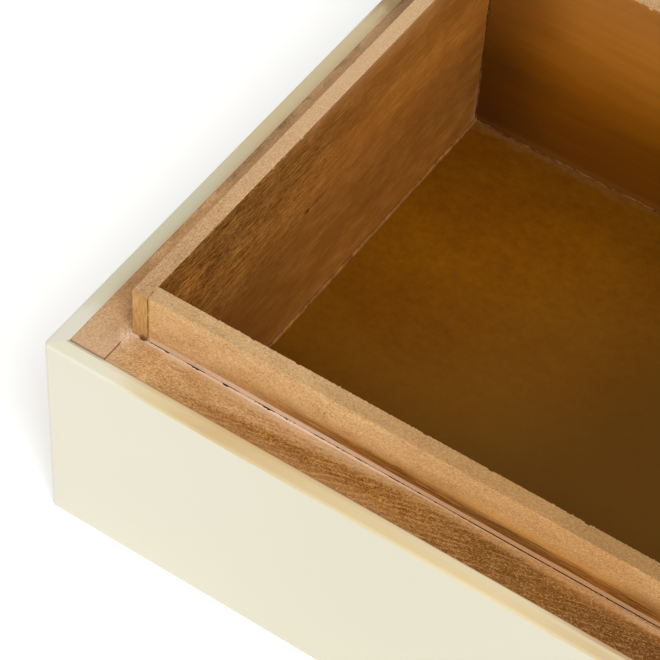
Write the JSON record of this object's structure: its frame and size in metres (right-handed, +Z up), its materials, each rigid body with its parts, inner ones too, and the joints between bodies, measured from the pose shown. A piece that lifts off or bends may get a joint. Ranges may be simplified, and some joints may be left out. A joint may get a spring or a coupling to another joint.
{
  "type": "lidded box",
  "caption": "Rectangular keepsake box with ivory cladding over a fibreboard core, a raised stained liner lip, and a lift-off lid lying behind it.",
  "frame": {"origin": "middle of the underside of the box, on the surface that it stands on", "axes": "+Z up, -Y towards the front wall, +X to the right; the lid lies at +Y, behind the box"},
  "size_m": [0.25, 0.382, 0.072],
  "materials": {
    "ivory_cladding": "satin cast resin",
    "fibreboard": "raw sawn edge",
    "stained_liner": "stained, matt lacquer",
    "stained_panel": "stained, satin lacquer",
    "felt": "short pile",
    "steel_brads": "plain"
  },
  "bodies": {
    "box": {"back_cladding": "ivory_cladding", "back_core": "fibreboard", "back_liner": "stained_liner", "base_board": "fibreboard", "base_board_brads": "steel_brads", "base_corner_brads": "steel_brads", "floor_panel": "stained_panel", "front_cladding": "ivory_cladding", "front_core": "fibreboard", "front_liner": "stained_liner", "left_cladding": "ivory_cladding", "left_core": "fibreboard", "left_liner": "stained_liner", "right_cladding": "ivory_cladding", "right_core": "fibreboard", "right_liner": "stained_liner", "underside_felt": "felt"},
    "lid": {"lid_back_cladding": "ivory_cladding", "lid_back_core": "fibreboard", "lid_board_brads": "steel_brads", "lid_ceiling_panel": "stained_panel", "lid_corner_brads": "steel_brads", "lid_front_cladding": "ivory_cladding", "lid_front_core": "fibreboard", "lid_left_cladding": "ivory_cladding", "lid_left_core": "fibreboard", "lid_right_cladding": "ivory_cladding", "lid_right_core": "fibreboard", "lid_top_board": "fibreboard", "lid_top_cladding": "ivory_cladding"}
  },
  "joints": [
    {"name": "lid_lift", "type": "hinge", "parent": "box", "child": "lid", "pos_m": [0, 0.1055, 0.04515], "axis": [1, 0, 0], "range_deg": [0, 180]}
  ]
}
